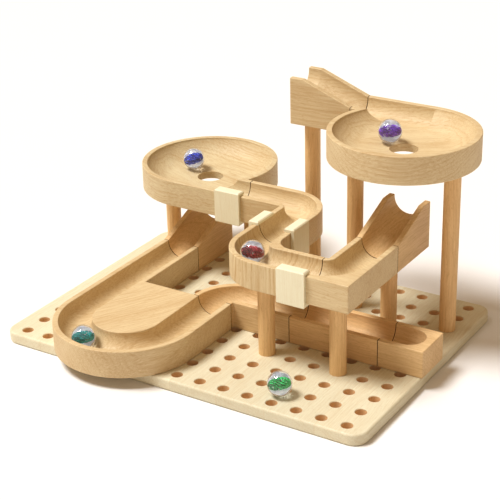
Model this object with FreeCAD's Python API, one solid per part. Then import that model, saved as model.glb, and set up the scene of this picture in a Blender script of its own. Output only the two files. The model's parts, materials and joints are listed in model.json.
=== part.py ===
import FreeCAD, Part
import os
from math import cos, radians, sin

os.makedirs("parts", exist_ok=True)

# Wooden marble run on a peg board, millimetres, +Z up.
# Origin: middle of the board's underside. X runs along the long side, Y to the back.
# The run starts at the launch ramp and falls through the upper bowl, the upper ramp, the corner,
# the two link curves, the lower bowl, the lower ramp, the U turn and the ground track.

# ---- driving sizes --------------------------------------------------------------------------
marble_diameter = 16.0

# peg board
hole_pitch = 17.5
holes_x = 15
holes_y = 11
board_thickness = 8.0
board_side_margin = 14.0      # end holes to the left and right edges
board_front_margin = 9.0      # end holes to the front and back edges
board_corner_radius = 10.0
board_edge_radius = 1.5
peg_hole_diameter = 7.4
hole_mouth_chamfer = 0.4

# track section, sized round the marble
marble_side_room = 3.0        # each side of a marble in its channel
channel_upright = 1.0         # upright part of the channel's sides, above the half round
channel_wall = 4.0
floor_thickness = 7.0         # under the middle of the channel
turn_radius = hole_pitch      # centre line of every quarter turn
edge_radius = 0.6             # softened edges of the wooden blocks

# posts
post_diameter = 11.0
spigot_clearance = 0.1        # radial, in the peg holes and sockets
spigot_end_gap = 1.0          # lower spigot's end to the board's underside
socket_skin = 1.5             # wood left between a socket and the channel's floor
socket_end_gap = 0.5          # upper spigot's end to the bottom of its socket
middle_level = 51.5           # underside of the middle tracks above the board
upper_level = 116.5           # underside of the upper tracks above the board
spigot_chamfer = 0.5

# ramps
ramp_post_inset = 9.0         # high end of the launch ramp to the post under it
ramp_rise = 14.0
ramp_landing = 9.5            # level stretch at the high end

# bowls
bowl_offset = 2 * hole_pitch  # bowl axis to the centre line of its inlet
drop_hole_room = 1.5          # round a marble in the drop hole
bowl_floor_drop = 1.5         # the floor at the drop hole below the floor of the channels
cone_radius = 28.0            # the dish is a shallow cone out to here, then curves up to the rim
cone_rise = 1.1               # from the drop hole to the end of the cone
bowl_post_offset = 2 * hole_pitch

# clips
clip_length = 20.0
clip_side = 2.2
clip_lip = 2.4
clip_reach = 5.0              # lip and foot past the outer face of the wall
clip_foot = 2.8
clip_clearance = 0.15
clip_chamfer = 0.7

# ground track
u_turn_radius = 2 * hole_pitch
ground_curve_arm = 41.0
straight_length = 65.0
end_block_length = 31.5
end_stop = 6.0                # wall left at the closed end of the end block

inner_fillet = 12.0           # outside of the second link curve's inner wall

# gaps between pieces that move apart
joint_gap = 0.5               # every piece stops this far short of the next one down the run
seat_gap = 0.1                # under a piece that lifts off
marble_gap = 0.3              # under a marble

# how far the joints and clips lie from the hole grid or the end of their wall
link_joint_shift = 5.0
corner_joint_shift = 1.0
u_turn_shift = 3.5
lower_ramp_shift = 7.0
ground_turn_shift = 1.5
clip_bowl_shift = 2.0
clip_corner_shift = 7.0
clip_link_shift = 6.0

# where the marbles lie: distance from the axis that they roll about, and angle from +X
blue_spot = (19.0, 163.0)
purple_spot = (13.2, 160.0)
red_angle = 221.0
teal_angle = 250.0
green_shift = 10.0            # behind the front row of holes

# ---- values worked out from them -------------------------------------------------------------
channel_width = marble_diameter + 2 * marble_side_room
channel_depth = channel_width / 2 + channel_upright
track_width = channel_width + 2 * channel_wall
track_height = floor_thickness + channel_depth
drop_hole_diameter = marble_diameter + 2 * drop_hole_room
half_width = track_width / 2
half_channel = channel_width / 2
channel_floor = floor_thickness
bowl_floor = channel_floor - bowl_floor_drop
socket_depth = floor_thickness - socket_skin
upper_spigot_length = socket_depth - socket_end_gap
lower_spigot_length = board_thickness - spigot_end_gap
bowl_radius = bowl_offset + half_width
corner_stub = turn_radius - half_width - joint_gap      # shortest wall, inside the corner track
rounding = min(edge_radius, corner_stub / 3)
marble_radius = marble_diameter / 2
spigot_radius = peg_hole_diameter / 2 - spigot_clearance
ground_z = board_thickness
middle_z = board_thickness + middle_level
upper_z = board_thickness + upper_level
above = 2 * track_height      # how far cutters run past the top
overshoot = 1.0               # how far cutters run past an end
tolerance = 0.01


def hole_x(column):
    return (column - (holes_x - 1) / 2) * hole_pitch


def hole_y(row):
    return (row - (holes_y - 1) / 2) * hole_pitch


# places of the pieces, on the hole grid
lower_bowl_axis = (hole_x(2), hole_y(10))
upper_bowl_axis = (hole_x(12), hole_y(8))
first_link_turn = (hole_x(7), hole_y(7))
second_link_turn = (hole_x(9), hole_y(4))
corner_turn = (hole_x(11), hole_y(4))
link_joint_y = hole_y(5) + link_joint_shift
corner_joint_y = hole_y(6) - corner_joint_shift
u_turn_centre = (hole_x(4), hole_y(1) + u_turn_shift)
lower_ramp_joint_y = hole_y(8) - lower_ramp_shift
ground_turn = (u_turn_centre[0] + u_turn_radius + turn_radius, hole_y(4) - ground_turn_shift)
straight_start_x = ground_turn[0] + ground_curve_arm
end_block_start_x = straight_start_x + straight_length
ground_run_y = ground_turn[1] + turn_radius

# peg holes that carry the posts
launch_post = (hole_x(7), hole_y(10))
upper_bowl_posts = [(upper_bowl_axis[0] + side * bowl_post_offset, upper_bowl_axis[1]) for side in (-1, 1)]
lower_bowl_posts = [(lower_bowl_axis[0] + side * bowl_post_offset, lower_bowl_axis[1]) for side in (-1, 1)]
upper_ramp_post = (hole_x(12), hole_y(7))
corner_post = (hole_x(12), hole_y(3))
link_post = (hole_x(9), hole_y(3))

# the launch ramp reaches from past its post to the upper bowl, and all ramps are alike
ramp_length = (upper_bowl_axis[0] - bowl_radius) - launch_post[0] + ramp_post_inset

# middles of the clips, on the outer faces of the walls that they hold
link_column = first_link_turn[0] + turn_radius
clip_bowl_x = lower_bowl_axis[0] + bowl_radius - clip_bowl_shift
clip_bowl_place = (clip_bowl_x, first_link_turn[1] + turn_radius - half_width)
clip_corner_place = (corner_turn[0] - clip_corner_shift, corner_turn[1] - turn_radius - half_width)
clip_link_left_place = (link_column - half_width, link_joint_y + clip_link_shift)
clip_link_right_place = (link_column + half_width, link_joint_y + clip_link_shift)


# ---- shape helpers -----------------------------------------------------------------------------
def point(x, y, z=0.0):
    return FreeCAD.Vector(x, y, z)


def box(x0, x1, y0, y1, z0, z1):
    return Part.makeBox(x1 - x0, y1 - y0, z1 - z0, point(x0, y0, z0))


def cylinder(radius, height, x, y, z):
    return Part.makeCylinder(radius, height, point(x, y, z))


def line(start, end):
    return Part.makeLine(start, end)


def polygon(corners):
    return Part.Face(Part.makePolygon(corners + corners[:1]))


def prism(edges, z):
    # a block of the track's height on the level outline made by the edges
    face = Part.Face(Part.Wire(edges))
    block = face.extrude(point(0, 0, track_height))
    block.translate(point(0, 0, z))
    return block


def chain(start, *steps):
    # outline edges: each step is an end point, or (end point, centre) for a quarter arc about the centre
    edges = []
    here = point(*start)
    for step in steps:
        if isinstance(step[0], tuple):
            end = point(*step[0])
            centre = point(*step[1])
            middle = (here + end) * 0.5 - centre
            middle = centre + middle * ((here - centre).Length / middle.Length)
            edges.append(Part.Arc(here, middle, end).toShape())
        else:
            end = point(*step)
            edges.append(line(here, end))
        here = end
    if (here - point(*start)).Length > tolerance:
        edges.append(line(here, point(*start)))
    return edges


def tangent_arc(start, direction, end):
    # the arc in the XZ plane that leaves start along the direction and reaches end
    across = point(-direction.z, 0, direction.x).normalize()
    chord = end - start
    centre = start + across * (chord.Length ** 2 / (2 * chord.dot(across)))
    middle = (start + end) * 0.5 - centre
    middle = centre + middle * ((start - centre).Length / middle.Length)
    return Part.Arc(start, middle, end).toShape()


def channel_face(offset, floor):
    # U section in the XZ plane: half round at the bottom, upright sides, open at the top
    centre_z = floor + half_channel
    left = offset - half_channel
    right = offset + half_channel
    top = floor + above
    edges = [
        line(point(left, 0, top), point(left, 0, centre_z)),
        Part.Arc(point(left, 0, centre_z), point(offset, 0, floor), point(right, 0, centre_z)).toShape(),
        line(point(right, 0, centre_z), point(right, 0, top)),
        line(point(right, 0, top), point(left, 0, top)),
    ]
    return Part.Face(Part.Wire(edges))


def channel_along_y(x, y0, y1, floor):
    cutter = channel_face(0, floor).extrude(point(0, y1 - y0, 0))
    cutter.translate(point(x, y0, 0))
    return cutter


def channel_along_x(y, x0, x1, floor):
    cutter = channel_along_y(0, 0, x1 - x0, floor)
    cutter.rotate(point(0, 0, 0), point(0, 0, 1), -90)
    cutter.translate(point(x0, y, 0))
    return cutter


def channel_turn(centre, radius, start_angle, sweep, floor):
    # the U section turned about the vertical line through the centre
    cutter = channel_face(radius, floor).revolve(point(0, 0, 0), point(0, 0, 1), sweep)
    cutter.rotate(point(0, 0, 0), point(0, 0, 1), start_angle)
    cutter.translate(point(centre[0], centre[1], 0))
    return cutter


def edges_where(shape, test):
    return [edge for edge in shape.Edges if test(edge)]


def is_upright(edge):
    bounds = edge.BoundBox
    return bounds.XLength < tolerance and bounds.YLength < tolerance


def is_level(edge, z):
    bounds = edge.BoundBox
    return abs(bounds.ZMin - z) < tolerance and abs(bounds.ZMax - z) < tolerance


def is_corner(edge):
    # an upright edge of a block from top to bottom
    return is_upright(edge) and edge.BoundBox.ZLength > track_height - tolerance


def is_open_end(face):
    # the upright end of a track, with the channel's half round floor in its outline
    upright = isinstance(face.Surface, Part.Plane) and abs(face.normalAt(0, 0).z) < tolerance
    straight = (Part.Line, Part.LineSegment)
    return upright and any(not isinstance(edge.Curve, straight) for edge in face.Edges)


def rounded(block, edges):
    # the edges round an open end stay sharp, so that two pieces meet in a fine line
    sharp = [edge for face in block.Faces if is_open_end(face) for edge in face.Edges]
    soft = [edge for edge in edges if not any(edge.isSame(one) for one in sharp)]
    return block.makeFillet(rounding, soft)


def softened(block, z):
    # a block with its rims, corners and bottom edges rounded; z is its underside
    levels = (z, z + track_height)
    level_edges = edges_where(block, lambda edge: any(is_level(edge, level) for level in levels))
    return rounded(block, level_edges + edges_where(block, is_corner))


def drill_socket(shape, x, y, z):
    return shape.cut(cylinder(peg_hole_diameter / 2, socket_depth, x, y, z))


def export(name, shape):
    if len(shape.Solids) != 1 or not shape.isValid():
        raise ValueError(name + " is not one valid solid")
    shape.exportStep("parts/" + name + ".step")
    print(name, round(shape.Volume), len(shape.Faces))


# ---- peg board and posts ---------------------------------------------------------------------
def base_board():
    half_x = hole_x(holes_x - 1) + board_side_margin
    half_y = hole_y(holes_y - 1) + board_front_margin
    board = box(-half_x, half_x, -half_y, half_y, 0, board_thickness)
    board = board.makeFillet(board_corner_radius, edges_where(board, is_upright))
    rims = edges_where(board, lambda edge: is_level(edge, 0) or is_level(edge, board_thickness))
    board = board.makeFillet(board_edge_radius, rims)
    radius = peg_hole_diameter / 2
    mouth_z = board_thickness - hole_mouth_chamfer
    mouth = Part.makeCone(radius, radius + hole_mouth_chamfer, hole_mouth_chamfer, point(0, 0, mouth_z))
    drill = cylinder(radius, board_thickness, 0, 0, 0).fuse(mouth)
    drills = []
    for column in range(holes_x):
        for row in range(holes_y):
            one = drill.copy()
            one.translate(point(hole_x(column), hole_y(row)))
            drills.append(one)
    return board.cut(Part.makeCompound(drills))


def post(x, y, level):
    bottom = board_thickness - lower_spigot_length
    shoulder = board_thickness + level - seat_gap
    top = shoulder + upper_spigot_length
    shaft = cylinder(post_diameter / 2, shoulder - board_thickness, x, y, board_thickness)
    lower = cylinder(spigot_radius, lower_spigot_length, x, y, bottom)
    upper = cylinder(spigot_radius, upper_spigot_length, x, y, shoulder)
    shape = shaft.fuse([lower, upper]).removeSplitter()
    ends = edges_where(shape, lambda edge: is_level(edge, bottom) or is_level(edge, top))
    return shape.makeChamfer(spigot_chamfer, ends)


# ---- ramps -----------------------------------------------------------------------------------
def ramp():
    # high end at x = 0, low end at x = ramp_length, underside at z = 0, centre line on y = 0
    high = track_height + ramp_rise
    end = ramp_length - joint_gap
    side = polygon([
        point(0, -half_width, 0),
        point(end, -half_width, 0),
        point(end, -half_width, track_height),
        point(ramp_landing, -half_width, high),
        point(0, -half_width, high),
    ])
    block = side.extrude(point(0, track_width, 0))
    run = ramp_length - ramp_landing
    landing = channel_along_x(0, -overshoot, ramp_landing, channel_floor + ramp_rise)
    mouth = max(landing.Faces, key=lambda face: face.BoundBox.XMin)
    past_end = (run + overshoot) / run
    slope = mouth.extrude(point(run * past_end, 0, -ramp_rise * past_end))
    block = block.cut(landing).cut(slope)
    rim_z = track_height - tolerance
    rims = edges_where(block, lambda edge: edge.BoundBox.ZMin > rim_z and not is_upright(edge))
    others = edges_where(block, lambda edge: is_level(edge, 0) or is_corner(edge))
    return rounded(block, rims + others)


def place(shape, x, y, z, turn):
    shape.rotate(point(0, 0, 0), point(0, 0, 1), turn)
    shape.translate(point(x, y, z))
    return shape


def launch_ramp():
    x = upper_bowl_axis[0] - bowl_radius - ramp_length
    y = upper_bowl_axis[1] + bowl_offset
    shape = place(ramp(), x, y, upper_z, 0)
    return drill_socket(shape, *launch_post, upper_z)


def upper_ramp():
    y = corner_joint_y + ramp_length
    shape = place(ramp(), upper_bowl_axis[0], y, middle_z, -90)
    return drill_socket(shape, *upper_ramp_post, middle_z)


def lower_ramp():
    y = lower_ramp_joint_y + ramp_length
    return place(ramp(), lower_bowl_axis[0], y, ground_z + seat_gap, -90)


# ---- bowls -----------------------------------------------------------------------------------
def bowl():
    # axis at the origin, underside at z = 0, inlet along +X on the -Y side
    rim = cylinder(bowl_radius, track_height, 0, 0, 0)
    arm = box(0, bowl_radius, -bowl_radius, track_width - bowl_radius, 0, track_height)
    block = rim.fuse(arm).removeSplitter()
    hole_radius = drop_hole_diameter / 2
    inner_radius = bowl_offset + half_channel
    hole_edge = point(hole_radius, 0, bowl_floor)
    cone_edge = point(cone_radius, 0, bowl_floor + cone_rise)
    rim_edge = point(inner_radius, 0, channel_floor + half_channel)
    section = Part.Face(Part.Wire([
        line(point(0, 0, -overshoot), point(hole_radius, 0, -overshoot)),
        line(point(hole_radius, 0, -overshoot), hole_edge),
        line(hole_edge, cone_edge),
        tangent_arc(cone_edge, cone_edge - hole_edge, rim_edge),
        line(rim_edge, point(inner_radius, 0, above)),
        line(point(inner_radius, 0, above), point(0, 0, above)),
        line(point(0, 0, above), point(0, 0, -overshoot)),
    ]))
    dish = section.revolve(point(0, 0, 0), point(0, 0, 1), 360)
    inlet = channel_along_x(-bowl_offset, 0, bowl_radius + overshoot, channel_floor)
    block = softened(block.cut(dish).cut(inlet), 0)
    for x in (-bowl_post_offset, bowl_post_offset):
        block = drill_socket(block, x, 0, 0)
    return block


def upper_bowl():
    return place(bowl(), *upper_bowl_axis, upper_z, 180)


def lower_bowl():
    return place(bowl(), *lower_bowl_axis, middle_z, 0)


# ---- curves and straights --------------------------------------------------------------------
def u_turn_track():
    x, y = u_turn_centre
    outer = u_turn_radius + half_width
    inner = u_turn_radius - half_width
    left_end = lower_ramp_joint_y
    right_end = ground_turn[1] - joint_gap
    outline = chain(
        (x - outer, left_end),
        (x - outer, y),
        ((x, y - outer), (x, y)),
        ((x + outer, y), (x, y)),
        (x + outer, right_end),
        (x - inner, right_end),
        (x - inner, left_end),
    )
    z = ground_z + seat_gap
    block = prism(outline, z)
    floor = z + channel_floor
    left = channel_along_y(x - u_turn_radius, y, left_end + overshoot, floor)
    right = channel_along_y(x + u_turn_radius, y, right_end + overshoot, floor)
    turn = channel_turn((x, y), u_turn_radius, 180, 180, floor)
    return softened(block.cut(left).cut(right).cut(turn), z)


def ground_curve():
    x, y = ground_turn
    z = ground_z + seat_gap
    end = straight_start_x - joint_gap
    outer = turn_radius + half_width
    inner = turn_radius - half_width
    outline = chain(
        (x - outer, y),
        (x - inner, y),
        (x - inner, ground_run_y - half_width),
        (end, ground_run_y - half_width),
        (end, ground_run_y + half_width),
        (x, ground_run_y + half_width),
        ((x - outer, y), (x, y)),
    )
    block = prism(outline, z)
    floor = z + channel_floor
    turn = channel_turn((x, y), turn_radius, 90, 90, floor)
    arm = channel_along_x(ground_run_y, x, end + overshoot, floor)
    return softened(block.cut(turn).cut(arm), z)


def straight_outline(x0, x1, y):
    return chain((x0, y - half_width), (x1, y - half_width), (x1, y + half_width), (x0, y + half_width))


def ground_straight():
    z = ground_z + seat_gap
    x0 = straight_start_x
    x1 = end_block_start_x - joint_gap
    block = prism(straight_outline(x0, x1, ground_run_y), z)
    run = channel_along_x(ground_run_y, x0 - overshoot, x1 + overshoot, z + channel_floor)
    return softened(block.cut(run), z)


def end_block():
    # the channel stops short in a half round end
    z = ground_z + seat_gap
    x0 = end_block_start_x
    x1 = end_block_start_x + end_block_length
    centre_x = x1 - end_stop - half_channel
    spring_z = z + channel_floor + half_channel
    block = prism(straight_outline(x0, x1, ground_run_y), z)
    run = channel_along_x(ground_run_y, x0 - overshoot, centre_x, z + channel_floor)
    ball = Part.makeSphere(half_channel, point(centre_x, ground_run_y, spring_z))
    shaft = cylinder(half_channel, above, centre_x, ground_run_y, spring_z)
    return softened(block.cut(run).cut(ball).cut(shaft), z)


def first_link_curve():
    # from the lower bowl along X, then towards the front
    x, y = first_link_turn
    start = lower_bowl_axis[0] + bowl_radius + joint_gap
    end = link_joint_y
    row = y + turn_radius
    column = x + turn_radius
    outer = turn_radius + half_width
    outline = chain(
        (start, row - half_width),
        (column - half_width, row - half_width),
        (column - half_width, end),
        (column + half_width, end),
        (column + half_width, y),
        ((x, row + half_width), (x, y)),
        (start, row + half_width),
    )
    block = prism(outline, middle_z)
    floor = middle_z + channel_floor
    arm_x = channel_along_x(row, start - overshoot, x, floor)
    turn = channel_turn((x, y), turn_radius, 0, 90, floor)
    arm_y = channel_along_y(column, end - overshoot, y, floor)
    return softened(block.cut(arm_x).cut(turn).cut(arm_y), middle_z)


def second_link_curve():
    # from the first link curve towards the front, then along X to the corner
    x, y = second_link_turn
    start = link_joint_y - joint_gap
    end = corner_turn[0]
    row = y - turn_radius
    column = x - turn_radius
    outline = chain(
        (column - half_width, start),
        (column - half_width, y),
        ((x, row - half_width), (x, y)),
        (end, row - half_width),
        (end, row + half_width),
        (column + half_width, row + half_width),
        (column + half_width, start),
    )
    block = prism(outline, middle_z)
    inner_corner = Part.Vertex(point(column + half_width, row + half_width, middle_z))
    uprights = edges_where(block, is_upright)
    inner = min(uprights, key=lambda edge: edge.distToShape(inner_corner)[0])
    block = block.makeFillet(inner_fillet, [inner])
    floor = middle_z + channel_floor
    arm_y = channel_along_y(column, y, start + overshoot, floor)
    turn = channel_turn((x, y), turn_radius, 180, 90, floor)
    arm_x = channel_along_x(row, x, end + overshoot, floor)
    block = softened(block.cut(arm_y).cut(turn).cut(arm_x), middle_z)
    return drill_socket(block, *link_post, middle_z)


def corner_track():
    # a square outside corner with a round channel in it
    x, y = corner_turn
    start = x + joint_gap
    end = corner_joint_y
    row = y - turn_radius
    column = x + turn_radius
    outline = chain(
        (start, row - half_width),
        (column + half_width, row - half_width),
        (column + half_width, end),
        (column - half_width, end),
        (column - half_width, row + half_width),
        (start, row + half_width),
    )
    block = prism(outline, middle_z)
    floor = middle_z + channel_floor
    turn = channel_turn((x, y), turn_radius, 270, 90, floor)
    arm = channel_along_y(column, y, end + overshoot, floor)
    block = softened(block.cut(turn).cut(arm), middle_z)
    return drill_socket(block, *corner_post, middle_z)


# ---- clips -----------------------------------------------------------------------------------
def clip():
    # hugs one track wall: the wall's outer face is at y = 0, the track lies on the +Y side,
    # the clip is centred on x = 0 and the track's underside is at z = 0
    half = clip_length / 2
    outer = -clip_side - clip_clearance
    bottom = -clip_foot - clip_clearance
    top = track_height + clip_lip + clip_clearance
    body = box(-half, half, outer, clip_reach, bottom, top)
    hollow = box(-half, half, -clip_clearance, clip_reach, -clip_clearance, track_height + clip_clearance)
    shape = body.cut(hollow)
    rims = edges_where(shape, lambda edge: is_level(edge, top) or is_level(edge, bottom))
    return shape.makeChamfer(clip_chamfer, rims)


def clip_at(x, y, turn):
    return place(clip(), x, y, middle_z, turn)


# ---- marbles ---------------------------------------------------------------------------------
def marble(x, y, z):
    return Part.makeSphere(marble_radius, point(x, y, z))


def on_circle(centre, radius, angle):
    return (centre[0] + radius * cos(radians(angle)), centre[1] + radius * sin(radians(angle)))


def marble_in_bowl(axis, level, radius, angle):
    x, y = on_circle(axis, radius, angle)
    grade = cone_rise / (cone_radius - drop_hole_diameter / 2)
    surface = bowl_floor + (radius - drop_hole_diameter / 2) * grade
    return marble(x, y, level + surface + marble_radius + marble_gap)


def marble_in_turn(centre, level, radius, angle):
    x, y = on_circle(centre, radius, angle)
    return marble(x, y, level + channel_floor + marble_radius + marble_gap)


posts = {
    "post_launch_ramp": (launch_post, upper_level),
    "post_upper_bowl_left": (upper_bowl_posts[0], upper_level),
    "post_upper_bowl_right": (upper_bowl_posts[1], upper_level),
    "post_lower_bowl_left": (lower_bowl_posts[0], middle_level),
    "post_lower_bowl_right": (lower_bowl_posts[1], middle_level),
    "post_upper_ramp": (upper_ramp_post, middle_level),
    "post_corner": (corner_post, middle_level),
    "post_link": (link_post, middle_level),
}

export("base_board", base_board())
for name, (spot, level) in posts.items():
    export(name, post(*spot, level))
export("launch_ramp", launch_ramp())
export("upper_bowl", upper_bowl())
export("upper_ramp", upper_ramp())
export("corner_track", corner_track())
export("second_link_curve", second_link_curve())
export("first_link_curve", first_link_curve())
export("lower_bowl", lower_bowl())
export("lower_ramp", lower_ramp())
export("u_turn_track", u_turn_track())
export("ground_curve", ground_curve())
export("ground_straight", ground_straight())
export("end_block", end_block())
export("clip_bowl", clip_at(*clip_bowl_place, 0))
export("clip_corner", clip_at(*clip_corner_place, 0))
export("clip_link_left", clip_at(*clip_link_left_place, -90))
export("clip_link_right", clip_at(*clip_link_right_place, 90))
export("marble_blue", marble_in_bowl(lower_bowl_axis, middle_z, *blue_spot))
export("marble_purple", marble_in_bowl(upper_bowl_axis, upper_z, *purple_spot))
export("marble_red", marble_in_turn(second_link_turn, middle_z, turn_radius, red_angle))
export("marble_teal", marble_in_turn(u_turn_centre, ground_z + seat_gap, u_turn_radius, teal_angle))
green_z = board_thickness + marble_radius + marble_gap
export("marble_green", marble(hole_x(11), hole_y(0) + green_shift, green_z))
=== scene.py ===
import json
import math

import bmesh
import bpy
from bpy.props import FloatProperty, FloatVectorProperty, IntProperty, PointerProperty
from bpy.types import Operator, Panel, PropertyGroup
from mathutils import Matrix, Vector
from mathutils.bvhtree import BVHTree


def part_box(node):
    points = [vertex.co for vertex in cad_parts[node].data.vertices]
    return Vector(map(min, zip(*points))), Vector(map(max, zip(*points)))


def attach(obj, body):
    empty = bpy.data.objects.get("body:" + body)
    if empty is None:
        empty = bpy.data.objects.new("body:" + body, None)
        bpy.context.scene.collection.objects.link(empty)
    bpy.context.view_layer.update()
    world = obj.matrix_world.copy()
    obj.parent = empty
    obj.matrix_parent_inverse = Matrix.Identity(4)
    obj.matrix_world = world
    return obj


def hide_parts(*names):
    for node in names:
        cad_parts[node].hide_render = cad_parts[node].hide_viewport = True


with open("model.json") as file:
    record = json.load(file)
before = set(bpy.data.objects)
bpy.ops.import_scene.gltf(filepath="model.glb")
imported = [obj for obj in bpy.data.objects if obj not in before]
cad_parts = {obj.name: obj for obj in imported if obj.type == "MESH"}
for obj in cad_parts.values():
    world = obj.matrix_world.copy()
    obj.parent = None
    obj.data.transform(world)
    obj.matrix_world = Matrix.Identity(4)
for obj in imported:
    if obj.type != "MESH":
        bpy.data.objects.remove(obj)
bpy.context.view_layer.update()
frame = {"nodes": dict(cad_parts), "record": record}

bl_info = {
    "name": "Wooden Marble Run",
    "version": (1, 0, 0),
    "blender": (4, 5, 0),
    "location": "3D View > Sidebar > Marble Run",
    "description": "Beech tracks, bowls, posts, clips and glass marbles on a peg board",
    "category": "Add Mesh",
}

body_of = {node: body for body, nodes in frame["record"]["behaviour"]["bodies"].items() for node in nodes}

mounts = {mount["name"]: mount for mount in frame["record"]["mounts"]}
FIXING_PITCHES = 14        # hole pitches from one fixing hole to the next along X
HOLE_PITCH = mounts["board_fixing_holes"]["dims"]["spacing_x_mm"] / FIXING_PITCHES / 1000
MM = 0.001
MERGE_DISTANCE = 1e-6      # corners of a CAD mesh nearer than this are one
SHARP_ANGLE = math.radians(30)
JOINT_REACH = 1.2 * MM     # two pieces that meet are nearer than this
UPRIGHT_LIMIT = 0.01       # a face is upright when the Z of its normal is smaller

# wood: shares run from 0 to 1
BOARD_RING_SHARE = 0.16
POST_RING_SHARE = 0.30
CLIP_RING_SHARE = 0.12
DRILLED_SHARE = 0.85
DRILLED_EDGE = (0.222, 0.232)    # where the drilled wall's colour fades out, in hole pitches
SEAM_SHARE = 0.45
SEAM_EDGE = 0.012                # in strip widths

# marbles: lengths are shares of the marble's radius, apart from the veil's flatness
VANE_THICKNESS = 0.07
VANE_END_WIDTH = 0.03
VANE_ROWS = 24
VEIL_FLATNESS = 0.12             # of the ball that the veil is squashed from
VEIL_RIPPLE = 0.05
VEIL_RIPPLES = 6.0
VEIL_DROP = 0.10
VEIL_GLOW = 0.30                 # in place of the light that clear glass gathers
VEIL_LEAN = math.radians(65)

# stage, in metres
FLOOR_REACH = 6.0
KEY_PLACE = (-0.55, -0.32, 1.30)
KEY_COLOUR = (0.98, 0.99, 1.0)
FILL_PLACE = (0.6, -1.2, 0.5)
FILL_COLOUR = (1.0, 0.98, 0.96)
FILL_SIZE = 0.9
SENSOR_WIDTH_MM = 36.0


# ---- what a user would change ------------------------------------------------------------------
def colour_property(name, description, default):
    return FloatVectorProperty(
        name=name, description=description, subtype="COLOR", size=3, min=0.0, max=1.0, default=default
    )


class WoodSettings(PropertyGroup):
    board_light: colour_property("Board light", "Early wood of the peg board", (0.77, 0.73, 0.56))
    board_dark: colour_property("Board dark", "Late wood of the peg board", (0.62, 0.50, 0.31))
    track_light: colour_property("Track light", "Early wood of the tracks and bowls", (0.69, 0.595, 0.39))
    track_dark: colour_property("Track dark", "Late wood of the tracks and bowls", (0.48, 0.30, 0.125))
    # painted shade: the warm orange that the pieces in shade are tinted towards
    track_warm_shade: colour_property("Track warm", "Early wood of the warmest tracks", (0.82, 0.47, 0.18))
    post_light: colour_property("Post light", "Early wood of the posts", (0.80, 0.56, 0.29))
    post_dark: colour_property("Post dark", "Late wood of the posts", (0.52, 0.31, 0.13))
    clip_light: colour_property("Clip light", "Early wood of the clips", (0.84, 0.81, 0.63))
    clip_dark: colour_property("Clip dark", "Late wood of the clips", (0.76, 0.69, 0.49))
    # painted shade: the end faces in the gap between two pieces, painted far darker than their end grain
    joint: colour_property("Joint", "End grain where two pieces meet", (0.16, 0.075, 0.025))
    drilled: colour_property("Drilled wall", "Wood inside the peg holes", (0.80, 0.52, 0.27))
    strip_width: FloatProperty(
        name="Strip width", description="Width of the glued strips", default=35 * MM, unit="LENGTH"
    )
    ring_spacing: FloatProperty(
        name="Ring spacing", description="Distance between two growth rings", default=2.4 * MM, unit="LENGTH"
    )
    grain_depth: FloatProperty(
        name="Grain depth", description="Height of the wood's fibres", default=0.05 * MM, unit="LENGTH"
    )


class MarbleSettings(PropertyGroup):
    blue: colour_property("Blue ribbon", "Ribbon of the marble in the lower bowl", (0.02, 0.06, 0.55))
    purple: colour_property("Purple ribbon", "Ribbon of the marble in the upper bowl", (0.16, 0.03, 0.50))
    red: colour_property("Red ribbon", "Ribbon of the marble in the second link curve", (0.30, 0.005, 0.02))
    teal: colour_property("Teal ribbon", "Ribbon of the marble in the U turn", (0.00, 0.36, 0.36))
    green: colour_property("Green ribbon", "Ribbon of the marble on the board", (0.00, 0.42, 0.10))
    vanes: IntProperty(name="Vanes", description="Coloured vanes in each marble", default=5, min=1, max=6)
    twist: FloatProperty(
        name="Twist", description="Turn of a vane from end to end", default=math.radians(200), subtype="ANGLE"
    )
    core_length: FloatProperty(
        name="Core length", description="Length of the vanes as a share of the marble",
        default=0.66, min=0.1, max=0.9,
    )
    core_width: FloatProperty(
        name="Core width", description="Width of the vanes as a share of the marble",
        default=0.31, min=0.1, max=0.9,
    )
    # painted reflection: the veil stands in for the white studio seen in the glass
    veil_share: FloatProperty(
        name="Veil share", description="Width of the milky veil as a share of the marble",
        default=0.62, min=0.1, max=0.9,
    )


class StageSettings(PropertyGroup):
    aim: FloatVectorProperty(
        name="Aim", description="Point that the camera looks at", subtype="TRANSLATION", size=3,
        default=(0.4 * MM, 1.6 * MM, 59.1 * MM),
    )
    distance: FloatProperty(
        name="Distance", description="Camera to aim point", default=0.953, unit="LENGTH",
    )
    azimuth: FloatProperty(
        name="Azimuth", description="Turn of the view from the front",
        default=math.radians(32.51), subtype="ANGLE",
    )
    elevation: FloatProperty(
        name="Elevation", description="How far the camera looks down",
        default=math.radians(24.75), subtype="ANGLE",
    )
    roll: FloatProperty(
        name="Roll", description="Turn about the line of sight",
        default=math.radians(-1.43), subtype="ANGLE",
    )
    lens: FloatProperty(name="Lens", description="Focal length in millimetres", default=102.7, min=10.0)
    key_strength: FloatProperty(
        name="Key light", description="Strength of the main soft light", default=3.5, min=0.0,
    )
    key_softness: FloatProperty(
        name="Key softness", description="Angle that the main light fills",
        default=math.radians(22), subtype="ANGLE",
    )
    fill_power: FloatProperty(
        name="Fill light", description="Power of the side light", default=1.2, unit="POWER",
    )
    sky: FloatProperty(
        name="Sky", description="Strength of the light from all around", default=0.45, min=0.0,
    )
    sky_colour: colour_property("Sky colour", "Warm light that fills the shade", (1.0, 0.72, 0.46))
    gamma: FloatProperty(
        name="Gamma", description="Under 1 deepens the shade", default=0.88, min=0.5, max=1.5,
    )
    floor_colour: colour_property("Floor", "Colour of the floor", (0.84, 0.84, 0.84))


# ---- node helpers ------------------------------------------------------------------------------
def add_node(tree, kind, inputs=None, **settings):
    node = tree.nodes.new(kind)
    for name, value in settings.items():
        setattr(node, name, value)
    for name, value in (inputs or {}).items():
        if isinstance(value, bpy.types.NodeSocket):
            tree.links.new(value, node.inputs[name])
        else:
            node.inputs[name].default_value = value
    return node


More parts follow.
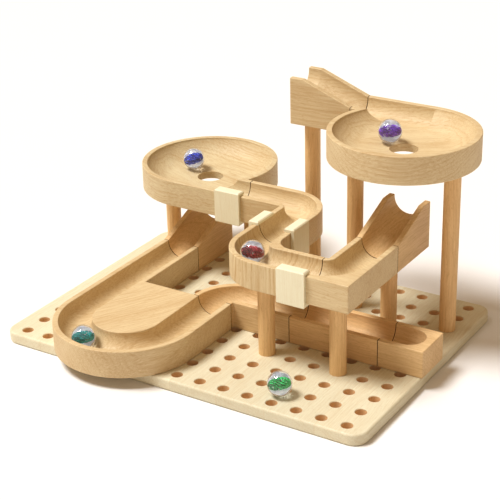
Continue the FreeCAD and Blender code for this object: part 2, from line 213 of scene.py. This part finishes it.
def calculate(tree, operation, first, second=0.0, clamp=False):
    inputs = {0: first, 1: second}
    return add_node(tree, "ShaderNodeMath", inputs, operation=operation, use_clamp=clamp).outputs[0]


def combine(tree, operation, first, second):
    inputs = {0: first, 1: second}
    return add_node(tree, "ShaderNodeVectorMath", inputs, operation=operation).outputs[0]


def ramp(tree, factor, *stops):
    node = add_node(tree, "ShaderNodeValToRGB", {0: factor})
    elements = node.color_ramp.elements
    while len(elements) < len(stops):
        elements.new(1.0)
    for element, (position, value) in zip(elements, stops):
        element.position = position
        element.color = (value, value, value, 1.0)
    return node.outputs[0]


def mix_colour(tree, factor, first, second):
    node = add_node(tree, "ShaderNodeMix", data_type="RGBA", blend_type="MIX")
    for socket, value in ((0, factor), (6, first), (7, second)):
        if isinstance(value, bpy.types.NodeSocket):
            tree.links.new(value, node.inputs[socket])
        elif socket == 0:
            node.inputs[socket].default_value = value
        else:
            node.inputs[socket].default_value = (*value, 1.0)
    return node.outputs[2]


def noise(tree, vector, stretch, detail=2.0, roughness=0.5, output="Fac"):
    scaled = combine(tree, "MULTIPLY", vector, stretch)
    inputs = {"Vector": scaled, "Scale": 1.0, "Detail": detail, "Roughness": roughness}
    return add_node(tree, "ShaderNodeTexNoise", inputs).outputs[output]


def new_material(name):
    material = bpy.data.materials.new(name)
    material.use_nodes = True
    return material, material.node_tree, material.node_tree.nodes["Principled BSDF"]


# ---- wood --------------------------------------------------------------------------------------
def object_pattern(tree, centre, turn):
    # the pattern's own axes: grain along its X, growth rings about its X axis
    coordinates = add_node(tree, "ShaderNodeTexCoord").outputs["Object"]
    inputs = {"Vector": coordinates, "Location": centre, "Rotation": turn}
    return add_node(tree, "ShaderNodeMapping", inputs, vector_type="TEXTURE").outputs[0]


def wood_pattern(tree, vector, ring_spacing):
    # growth rings, long fibres, short ray flecks and broad patches, each from 0 to 1;
    # noise is stretched by cells per metre, along the grain and then twice across it
    bend = noise(tree, vector, (9.0, 34.0, 34.0), detail=3.0, output="Color")
    bend = combine(tree, "SUBTRACT", bend, (0.5, 0.5, 0.5))
    bend = combine(tree, "MULTIPLY", bend, (0.0, 0.016, 0.016))
    bent = combine(tree, "ADD", vector, bend)
    across = combine(tree, "MULTIPLY", bent, (0.0, 1.0, 1.0))
    radius = add_node(tree, "ShaderNodeVectorMath", {0: across}, operation="LENGTH").outputs["Value"]
    years = calculate(tree, "DIVIDE", radius, ring_spacing)
    turns = calculate(tree, "FRACT", years)
    rings = ramp(tree, turns, (0.0, 0.0), (0.35, 0.12), (0.82, 1.0), (1.0, 0.0))
    inputs = {"W": years, "Scale": 0.9, "Detail": 1.0}
    year = add_node(tree, "ShaderNodeTexNoise", inputs, noise_dimensions="1D").outputs["Fac"]
    rings = calculate(tree, "MULTIPLY", rings, ramp(tree, year, (0.35, 0.15), (0.65, 1.0)))
    fibres = noise(tree, bent, (40.0, 1100.0, 1100.0), detail=4.0, roughness=0.65)
    flecks = noise(tree, bent, (350.0, 2200.0, 2200.0), detail=1.0)
    flecks = ramp(tree, flecks, (0.60, 0.0), (0.70, 1.0))
    patches = noise(tree, bent, (7.0, 60.0, 60.0), detail=3.0)
    return rings, fibres, flecks, patches


def finish_wood(tree, shader, pattern, light, dark, grain_depth, ring_share):
    rings, fibres, flecks, patches = pattern
    shade = calculate(tree, "MULTIPLY", rings, ring_share)
    fibre_shade = calculate(tree, "MULTIPLY", calculate(tree, "SUBTRACT", fibres, 0.40), 1.3)
    patch_shade = calculate(tree, "MULTIPLY", calculate(tree, "SUBTRACT", patches, 0.45), 0.8)
    shade = calculate(tree, "ADD", calculate(tree, "ADD", shade, fibre_shade), patch_shade, clamp=True)
    colour = mix_colour(tree, shade, light, dark)
    fleck_share = calculate(tree, "MULTIPLY", flecks, 0.35)
    colour = mix_colour(tree, fleck_share, colour, dark)
    tree.links.new(colour, shader.inputs["Base Color"])
    span = {"From Min": 0.3, "From Max": 0.7, "To Min": 0.48, "To Max": 0.64}
    roughness = add_node(tree, "ShaderNodeMapRange", {"Value": fibres, **span})
    tree.links.new(roughness.outputs[0], shader.inputs["Roughness"])
    shader.inputs["Specular IOR Level"].default_value = 0.35
    height = calculate(tree, "SUBTRACT", fibres, calculate(tree, "MULTIPLY", flecks, 0.5))
    bump = add_node(tree, "ShaderNodeBump", {"Height": height, "Distance": grain_depth, "Strength": 0.6})
    tree.links.new(bump.outputs[0], shader.inputs["Normal"])
    return colour


def wood_material(name, light, dark, settings, centre, turn, ring_share):
    material, tree, shader = new_material(name)
    vector = object_pattern(tree, centre, turn)
    pattern = wood_pattern(tree, vector, settings.ring_spacing)
    finish_wood(tree, shader, pattern, light, dark, settings.grain_depth, ring_share)
    return material


def distance_from_hole(tree):
    # level distance from the axis of the nearest peg hole; one hole is on the origin
    place = add_node(tree, "ShaderNodeTexCoord").outputs["Object"]
    parts = add_node(tree, "ShaderNodeSeparateXYZ", {0: place}).outputs
    near = []
    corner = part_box("base_board")[1]
    for axis, half_size in (("X", corner.x), ("Y", corner.y)):
        cells = calculate(tree, "DIVIDE", parts[axis], HOLE_PITCH)
        last = math.floor(half_size / HOLE_PITCH)
        column = calculate(tree, "MINIMUM", calculate(tree, "ROUND", cells), last)
        offset = calculate(tree, "SUBTRACT", cells, calculate(tree, "MAXIMUM", column, -last))
        near.append(calculate(tree, "MULTIPLY", offset, HOLE_PITCH))
    level = add_node(tree, "ShaderNodeCombineXYZ", {"X": near[0], "Y": near[1]}).outputs[0]
    return add_node(tree, "ShaderNodeVectorMath", {0: level}, operation="LENGTH").outputs["Value"]


def below_board_top(tree):
    place = add_node(tree, "ShaderNodeTexCoord").outputs["Object"]
    height = add_node(tree, "ShaderNodeSeparateXYZ", {0: place}).outputs["Z"]
    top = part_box("base_board")[1].z
    depth = calculate(tree, "DIVIDE", calculate(tree, "SUBTRACT", top, height), HOLE_PITCH)
    return ramp(tree, depth, (0.01, 0.0), (0.05, 1.0))


def board_material(settings):
    # edge glued strips along Y, each from another part of the plank
    material, tree, shader = new_material("board_wood")
    along = object_pattern(tree, (0.0, 0.0, 0.0), (0.0, 0.0, math.pi / 2))
    place = add_node(tree, "ShaderNodeSeparateXYZ", {0: along}).outputs
    strips = calculate(tree, "DIVIDE", place["Y"], settings.strip_width)
    number = calculate(tree, "FLOOR", strips)
    chance = add_node(tree, "ShaderNodeTexWhiteNoise", {"W": number}, noise_dimensions="1D").outputs
    shift = combine(tree, "MULTIPLY", chance["Color"], (0.7, 0.05, 0.04))
    shift = combine(tree, "ADD", shift, (0.0, 0.02, 0.05))
    vector = combine(tree, "ADD", along, shift)
    pattern = wood_pattern(tree, vector, settings.ring_spacing)
    light, dark = settings.board_light, settings.board_dark
    colour = finish_wood(tree, shader, pattern, light, dark, settings.grain_depth, BOARD_RING_SHARE)
    tone = add_node(tree, "ShaderNodeMapRange", {"Value": chance["Value"], "To Min": 0.90, "To Max": 1.04})
    colour = add_node(tree, "ShaderNodeVectorMath", {0: colour, "Scale": tone.outputs[0]}, operation="SCALE")
    colour = colour.outputs[0]
    from_hole = distance_from_hole(tree)
    wall, past_wall = DRILLED_EDGE
    in_hole = ramp(tree, calculate(tree, "DIVIDE", from_hole, HOLE_PITCH), (wall, 1.0), (past_wall, 0.0))
    in_hole = calculate(tree, "MULTIPLY", in_hole, below_board_top(tree))
    colour = mix_colour(tree, calculate(tree, "MULTIPLY", in_hole, DRILLED_SHARE), colour, settings.drilled)
    from_seam = calculate(tree, "PINGPONG", strips, 0.5)
    seam = ramp(tree, from_seam, (0.0, 1.0), (SEAM_EDGE, 0.0))
    colour = mix_colour(tree, calculate(tree, "MULTIPLY", seam, SEAM_SHARE), colour, dark)
    tree.links.new(colour, shader.inputs["Base Color"])
    return material


# painted shade: near black brown end grain for the faces in the gap between two pieces
def joint_shade_material(settings):
    material, tree, shader = new_material("joint_shade_wood")
    coordinates = add_node(tree, "ShaderNodeTexCoord").outputs["Object"]
    pores = ramp(tree, noise(tree, coordinates, (1800.0, 1800.0, 1800.0)), (0.40, 0.0), (0.62, 1.0))
    lighter = [1.6 * channel for channel in settings.joint]
    tree.links.new(mix_colour(tree, pores, settings.joint, lighter), shader.inputs["Base Color"])
    shader.inputs["Roughness"].default_value = 0.8
    return material


# ---- pieces from the frame -----------------------------------------------------------------------
def surfaces_near(node):
    """The surfaces of the track pieces and bowls whose boxes lie within reach of this one."""
    low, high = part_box(node)
    found = []
    for other in (*TRACK_GRAIN, *BOWL_GRAIN):
        other_low, other_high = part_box(other)
        apart = max(max(other_low[i] - high[i], low[i] - other_high[i]) for i in range(3))
        if other != node and apart < JOINT_REACH:
            mesh = frame["nodes"][other].data
            places = [vertex.co for vertex in mesh.vertices]
            found.append(BVHTree.FromPolygons(places, [face.vertices for face in mesh.polygons]))
    return found


def mark_joint_shade(piece, node):
    """Give the upright faces that another piece covers the second material, painted shade for the gap between
    the pieces on their end grain.
    """
    surfaces = surfaces_near(node)
    for face in piece.data.polygons:
        if abs(face.normal.z) < UPRIGHT_LIMIT:
            covered = any(tree.ray_cast(face.center, face.normal, JOINT_REACH)[0] for tree in surfaces)
            face.material_index = int(covered)


def shade_smooth(bm):
    for face in bm.faces:
        face.smooth = True


def smooth_piece(node):
    """A merged copy of a CAD node, shaded smooth on its curved faces, that stands in for the node."""
    mesh = frame["nodes"][node].data.copy()
    mesh.name = node + "_wood"
    bm = bmesh.new()
    bm.from_mesh(mesh)
    bmesh.ops.remove_doubles(bm, verts=bm.verts, dist=MERGE_DISTANCE)
    shade_smooth(bm)
    for edge in bm.edges:
        edge.smooth = edge.is_manifold and edge.calc_face_angle() < SHARP_ANGLE
    bm.to_mesh(mesh)
    bm.free()
    piece = bpy.data.objects.new(node + "_wood", mesh)
    bpy.context.scene.collection.objects.link(piece)
    weighted = piece.modifiers.new("even shading", "WEIGHTED_NORMAL")
    weighted.keep_sharp = True
    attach(piece, body_of[node])
    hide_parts(node)
    return piece


def give_material(piece, *materials):
    piece.data.materials.clear()
    for material in materials:
        piece.data.materials.append(material)


def middle(node):
    low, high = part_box(node)
    return (low + high) / 2


# each track piece: lean of its grain from level and turn of its grain about +Z, in degrees, where the
# heart of its tree lay from the middle of the piece, how strongly its rings show, and how much painted warm
# shade it gets
TRACK_GRAIN = {
    "launch_ramp": (0, 0, (0.0, 0.030, -0.060), 0.26, 0.1),
    "upper_ramp": (0, 90, (0.035, 0.0, -0.050), 0.26, 0.4),
    "lower_ramp": (0, 90, (-0.020, 0.0, -0.070), 0.22, 0.5),
    "corner_track": (0, 0, (0.0, 0.050, -0.045), 0.24, 0.1),
    "second_link_curve": (90, 0, (-0.060, 0.070, 0.0), 0.50, 0.1),
    "first_link_curve": (0, 0, (0.0, 0.045, -0.065), 0.24, 0.1),
    "u_turn_track": (0, 60, (-0.080, 0.045, -0.060), 0.20, 0.15),
    "ground_curve": (0, 0, (0.0, -0.040, -0.055), 0.22, 0.35),
    "ground_straight": (0, 0, (0.0, 0.035, -0.080), 0.24, 0.55),
    "end_block": (0, 0, (0.0, -0.050, -0.050), 0.26, 0.42),
}


# the same for the bowls, turned from flat planks so that the rings show as contours in the dish
BOWL_GRAIN = {
    "upper_bowl": (0, 20, (0.0, 0.020, -0.090), 0.30, 0.1),
    "lower_bowl": (0, -15, (0.0, -0.020, -0.090), 0.30, 0.0),
}


def make_track(node, grain, wood):
    lean, degrees, heart, ring_share, shade_warmth = grain
    place = middle(node) + Vector(heart)
    turn = (0.0, math.radians(lean), math.radians(degrees))
    # painted shade: the more a piece sits in shade, the more its early wood is tinted warm orange
    light = Vector(wood.track_light).lerp(Vector(wood.track_warm_shade), shade_warmth)
    material = wood_material(node, light, wood.track_dark, wood, place, turn, ring_share)
    piece = smooth_piece(node)
    give_material(piece, material, joint_shade_material(wood))
    mark_joint_shade(piece, node)


class MARBLERUN_OT_board(Operator):
    """Finish the peg board with glued strips of pale wood"""
    bl_idname = "marblerun.board"
    bl_label = "Peg board"

    def execute(self, context):
        give_material(smooth_piece("base_board"), board_material(context.scene.marble_run_wood))
        return {"FINISHED"}


class MARBLERUN_OT_posts(Operator):
    """Finish the eight posts with upright grain"""
    bl_idname = "marblerun.posts"
    bl_label = "Posts"

    def execute(self, context):
        wood = context.scene.marble_run_wood
        upright = (0.0, math.pi / 2, 0.0)
        for number, node in enumerate(n for n in sorted(frame["nodes"]) if n.startswith("post_")):
            heart = middle(node) + Vector((0.012 + 0.003 * number, 0.02 - 0.004 * number, 0.1 * number))
            material = wood_material(
                node, wood.post_light, wood.post_dark, wood, heart, upright, POST_RING_SHARE
            )
            give_material(smooth_piece(node), material)
        return {"FINISHED"}


class MARBLERUN_OT_bowls(Operator):
    """Finish the two bowls, turned from flat planks"""
    bl_idname = "marblerun.bowls"
    bl_label = "Bowls"

    def execute(self, context):
        for node, grain in BOWL_GRAIN.items():
            make_track(node, grain, context.scene.marble_run_wood)
        return {"FINISHED"}


class MARBLERUN_OT_tracks(Operator):
    """Finish the ramps, curves, straight and end block, each cut from its own plank"""
    bl_idname = "marblerun.tracks"
    bl_label = "Tracks"

    def execute(self, context):
        for node, grain in TRACK_GRAIN.items():
            make_track(node, grain, context.scene.marble_run_wood)
        return {"FINISHED"}


class MARBLERUN_OT_clips(Operator):
    """Finish the four pale clips"""
    bl_idname = "marblerun.clips"
    bl_label = "Clips"

    def execute(self, context):
        wood = context.scene.marble_run_wood
        for number, node in enumerate(n for n in sorted(frame["nodes"]) if n.startswith("clip_")):
            heart = middle(node) + Vector((0.02, 0.03 + 0.01 * number, -0.03))
            turn = (0.0, math.pi / 2, 0.3 * number)
            material = wood_material(
                node, wood.clip_light, wood.clip_dark, wood, heart, turn, CLIP_RING_SHARE
            )
            give_material(smooth_piece(node), material)
        return {"FINISHED"}


# ---- marbles -------------------------------------------------------------------------------------
def glass_material():
    material, tree, shader = new_material("marble_glass")
    # painted reflection: the share that is not transmitted scatters near white, for the white studio the
    # glass would show
    shader.inputs["Base Color"].default_value = (0.93, 0.95, 1.0, 1.0)
    shader.inputs["Transmission Weight"].default_value = 0.94
    shader.inputs["IOR"].default_value = 1.5
    coordinates = add_node(tree, "ShaderNodeTexCoord").outputs["Object"]
    smears = noise(tree, coordinates, (260.0, 260.0, 260.0))
    roughness = add_node(tree, "ShaderNodeMapRange", {"Value": smears, "To Min": 0.0, "To Max": 0.03})
    tree.links.new(roughness.outputs[0], shader.inputs["Roughness"])
    return material


def ribbon_material(name, colour):
    # deep and bright streaks of one colour with milky threads
    material, tree, shader = new_material(name)
    coordinates = add_node(tree, "ShaderNodeTexCoord").outputs["Object"]
    streaks = noise(tree, coordinates, (240.0, 240.0, 700.0))
    bright = [min(1.0, 1.8 * channel + 0.04) for channel in colour]
    tinted = mix_colour(tree, ramp(tree, streaks, (0.42, 0.0), (0.58, 1.0)), colour, bright)
    threads = noise(tree, coordinates, (900.0, 300.0, 500.0), detail=1.0)
    tinted = mix_colour(tree, ramp(tree, threads, (0.64, 0.0), (0.72, 0.7)), tinted, (0.90, 0.93, 0.97))
    tree.links.new(tinted, shader.inputs["Base Color"])
    roughness = add_node(tree, "ShaderNodeMapRange", {"Value": streaks, "To Min": 0.15, "To Max": 0.35})
    tree.links.new(roughness.outputs[0], shader.inputs["Roughness"])
    return material


def painted_veil_material():
    # white and grey wisps, a painted reflection of a white studio in the glass
    material, tree, shader = new_material("marble_veil")
    coordinates = add_node(tree, "ShaderNodeTexCoord").outputs["Object"]
    wisps = noise(tree, coordinates, (170.0, 170.0, 420.0), detail=3.0)
    wisps = ramp(tree, wisps, (0.38, 0.0), (0.62, 1.0))
    colour = mix_colour(tree, wisps, (0.50, 0.53, 0.60), (0.95, 0.97, 1.0))
    tree.links.new(colour, shader.inputs["Base Color"])
    # painted light: the veil glows in place of the light that the glass keeps from it
    tree.links.new(colour, shader.inputs["Emission Color"])
    shader.inputs["Emission Strength"].default_value = VEIL_GLOW
    shader.inputs["Roughness"].default_value = 0.25
    return material


def marble_radius(node):
    low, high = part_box(node)
    return (high.z - low.z) / 2


def link_piece(name, bm, node, material):
    """A smooth piece of a marble: bm is modelled round the origin and moved to the marble's middle."""
    shade_smooth(bm)
    bmesh.ops.translate(bm, verts=bm.verts, vec=middle(node))
    mesh = bpy.data.meshes.new(name)
    bm.to_mesh(mesh)
    bm.free()
    piece = bpy.data.objects.new(name, mesh)
    bpy.context.scene.collection.objects.link(piece)
    give_material(piece, material)
    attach(piece, body_of[node])
    return piece


def glass_ball(node, material):
    bm = bmesh.new()
    bmesh.ops.create_uvsphere(bm, u_segments=64, v_segments=32, radius=marble_radius(node))
    piece = link_piece(node + "_glass", bm, node, material)
    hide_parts(node)
    return piece


def twisted_vanes(node, material, marbles, tilt):
    """Lens shaped vanes round the marble's axis, twisted from end to end."""
    radius = marble_radius(node)
    reach = radius * marbles.core_length
    bm = bmesh.new()
    for number in range(marbles.vanes):
        made = bmesh.ops.create_grid(bm, x_segments=8, y_segments=VANE_ROWS, size=1.0)["verts"]
        start = math.tau * number / (2 * marbles.vanes)
        for vertex in made:
            across, along = vertex.co.x, vertex.co.y
            taper = math.sqrt(max(0.0, 1.0 - along * along))
            width = radius * (marbles.core_width * taper + VANE_END_WIDTH)
            angle = start + marbles.twist * along / 2
            vertex.co = (across * width * math.cos(angle), across * width * math.sin(angle), along * reach)
    bmesh.ops.solidify(bm, geom=bm.faces, thickness=radius * VANE_THICKNESS)
    bmesh.ops.recalc_face_normals(bm, faces=bm.faces)
    lean, heading, spin = (Matrix.Rotation(angle, 3, axis) for angle, axis in zip(tilt, "YZZ"))
    bmesh.ops.rotate(bm, verts=bm.verts, cent=(0, 0, 0), matrix=heading @ lean @ spin)
    return link_piece(node + "_ribbon", bm, node, material)


def reflection_veil(node, material, marbles, heading):
    """A thin rippled lens in the plane of the ribbon's axis, wider than the ribbon, that paints the white and
    grey a glass shows of a white studio.
    """
    radius = marble_radius(node)
    wide = radius * marbles.veil_share
    bm = bmesh.new()
    bmesh.ops.create_uvsphere(bm, u_segments=40, v_segments=16, radius=wide)
    for vertex in bm.verts:
        ripple = VEIL_RIPPLE * radius * math.sin(VEIL_RIPPLES * math.atan2(vertex.co.y, vertex.co.x))
        share = math.hypot(vertex.co.x, vertex.co.y) / wide
        vertex.co.z = VEIL_FLATNESS * vertex.co.z + ripple * share - VEIL_DROP * radius
    turn = Matrix.Rotation(heading, 3, "Z") @ Matrix.Rotation(VEIL_LEAN, 3, "X")
    bmesh.ops.rotate(bm, verts=bm.verts, cent=(0, 0, 0), matrix=turn)
    return link_piece(node + "_veil", bm, node, material)


class MARBLERUN_OT_marbles(Operator):
    """Model the glass marbles with their twisted coloured ribbons"""
    bl_idname = "marblerun.marbles"
    bl_label = "Marbles"

    def execute(self, context):
        marbles = context.scene.marble_run_marbles
        glass = glass_material()
        veil = painted_veil_material()
        # lean of the ribbon's axis from upright, its turn about +Z, and the ribbon's turn about its own axis
        tilts = {
            "blue": (1.25, 0.55, 0.4),
            "purple": (1.50, 0.60, 1.4),
            "red": (1.75, 0.60, 0.9),
            "teal": (1.45, 0.60, 2.0),
            "green": (1.40, 0.55, 0.2),
        }
        for colour, tilt in tilts.items():
            node = "marble_" + colour
            glass_ball(node, glass)
            reflection_veil(node, veil, marbles, tilt[1])
            twisted_vanes(node, ribbon_material(node + "_ribbon", getattr(marbles, colour)), marbles, tilt)
        return {"FINISHED"}


# ---- stage ---------------------------------------------------------------------------------------
def add_light(kind, name, place, aim, strength, colour):
    light = bpy.data.lights.new(name, kind)
    light.energy = strength
    light.color = colour
    lamp = bpy.data.objects.new(name, light)
    lamp.location = place
    lamp.rotation_euler = (Vector(aim) - Vector(place)).to_track_quat("-Z", "Y").to_euler()
    bpy.context.scene.collection.objects.link(lamp)
    return light


def floor_material(colour):
    material, tree, shader = new_material("floor")
    coordinates = add_node(tree, "ShaderNodeTexCoord").outputs["Object"]
    mottle = noise(tree, coordinates, (3.0, 3.0, 3.0))
    darker = [0.985 * channel for channel in colour]
    tree.links.new(mix_colour(tree, mottle, colour, darker), shader.inputs["Base Color"])
    shader.inputs["Roughness"].default_value = 0.9
    return material


class MARBLERUN_OT_stage(Operator):
    """Lay the pale floor, set up the soft lights and place the camera"""
    bl_idname = "marblerun.stage"
    bl_label = "Stage"

    def execute(self, context):
        stage = context.scene.marble_run_stage
        aim = Vector(stage.aim)
        bm = bmesh.new()
        bmesh.ops.create_grid(bm, x_segments=1, y_segments=1, size=FLOOR_REACH)
        mesh = bpy.data.meshes.new("floor")
        bm.to_mesh(mesh)
        bm.free()
        floor = bpy.data.objects.new("floor", mesh)
        context.scene.collection.objects.link(floor)
        give_material(floor, floor_material(stage.floor_colour))

        key = add_light("SUN", "key", KEY_PLACE, aim, stage.key_strength, KEY_COLOUR)
        key.angle = stage.key_softness
        fill = add_light("AREA", "fill", FILL_PLACE, aim, stage.fill_power, FILL_COLOUR)
        fill.shape = "DISK"
        fill.size = FILL_SIZE

        world = bpy.data.worlds.new("sky")
        world.use_nodes = True
        background = world.node_tree.nodes["Background"]
        background.inputs["Color"].default_value = (*stage.sky_colour, 1.0)
        background.inputs["Strength"].default_value = stage.sky
        context.scene.world = world
        context.scene.view_settings.view_transform = "Standard"
        context.scene.view_settings.gamma = stage.gamma

        camera = bpy.data.cameras.new("camera")
        camera.lens = stage.lens
        camera.sensor_width = SENSOR_WIDTH_MM
        turn = (
            Matrix.Rotation(stage.azimuth, 4, "Z")
            @ Matrix.Rotation(math.pi / 2 - stage.elevation, 4, "X")
            @ Matrix.Rotation(stage.roll, 4, "Z")
        )
        viewer = bpy.data.objects.new("camera", camera)
        viewer.matrix_world = Matrix.Translation(aim) @ turn @ Matrix.Translation((0.0, 0.0, stage.distance))
        context.scene.collection.objects.link(viewer)
        context.scene.camera = viewer
        return {"FINISHED"}


class MARBLERUN_PT_sidebar(Panel):
    """Sizes, colours and steps of the marble run"""
    bl_idname = "MARBLERUN_PT_sidebar"
    bl_label = "Marble Run"
    bl_space_type = "VIEW_3D"
    bl_region_type = "UI"
    bl_category = "Marble Run"

    def draw(self, context):
        scene = context.scene
        for group in (scene.marble_run_wood, scene.marble_run_marbles, scene.marble_run_stage):
            column = self.layout.column()
            for name in group.bl_rna.properties.keys():
                if name not in {"rna_type", "name"}:
                    column.prop(group, name)
        for operator in STEPS:
            self.layout.operator(operator.bl_idname)


STEPS = (
    MARBLERUN_OT_board,
    MARBLERUN_OT_posts,
    MARBLERUN_OT_bowls,
    MARBLERUN_OT_tracks,
    MARBLERUN_OT_clips,
    MARBLERUN_OT_marbles,
    MARBLERUN_OT_stage,
)
CLASSES = (WoodSettings, MarbleSettings, StageSettings, *STEPS, MARBLERUN_PT_sidebar)


def register():
    for item in CLASSES:
        bpy.utils.register_class(item)
    bpy.types.Scene.marble_run_wood = PointerProperty(type=WoodSettings)
    bpy.types.Scene.marble_run_marbles = PointerProperty(type=MarbleSettings)
    bpy.types.Scene.marble_run_stage = PointerProperty(type=StageSettings)


def unregister():
    del bpy.types.Scene.marble_run_stage
    del bpy.types.Scene.marble_run_marbles
    del bpy.types.Scene.marble_run_wood
    for item in reversed(CLASSES):
        bpy.utils.unregister_class(item)


def main():
    register()
    for step in STEPS:
        group, name = step.bl_idname.split(".")
        getattr(getattr(bpy.ops, group), name)()


if __name__ == "__main__":
    main()
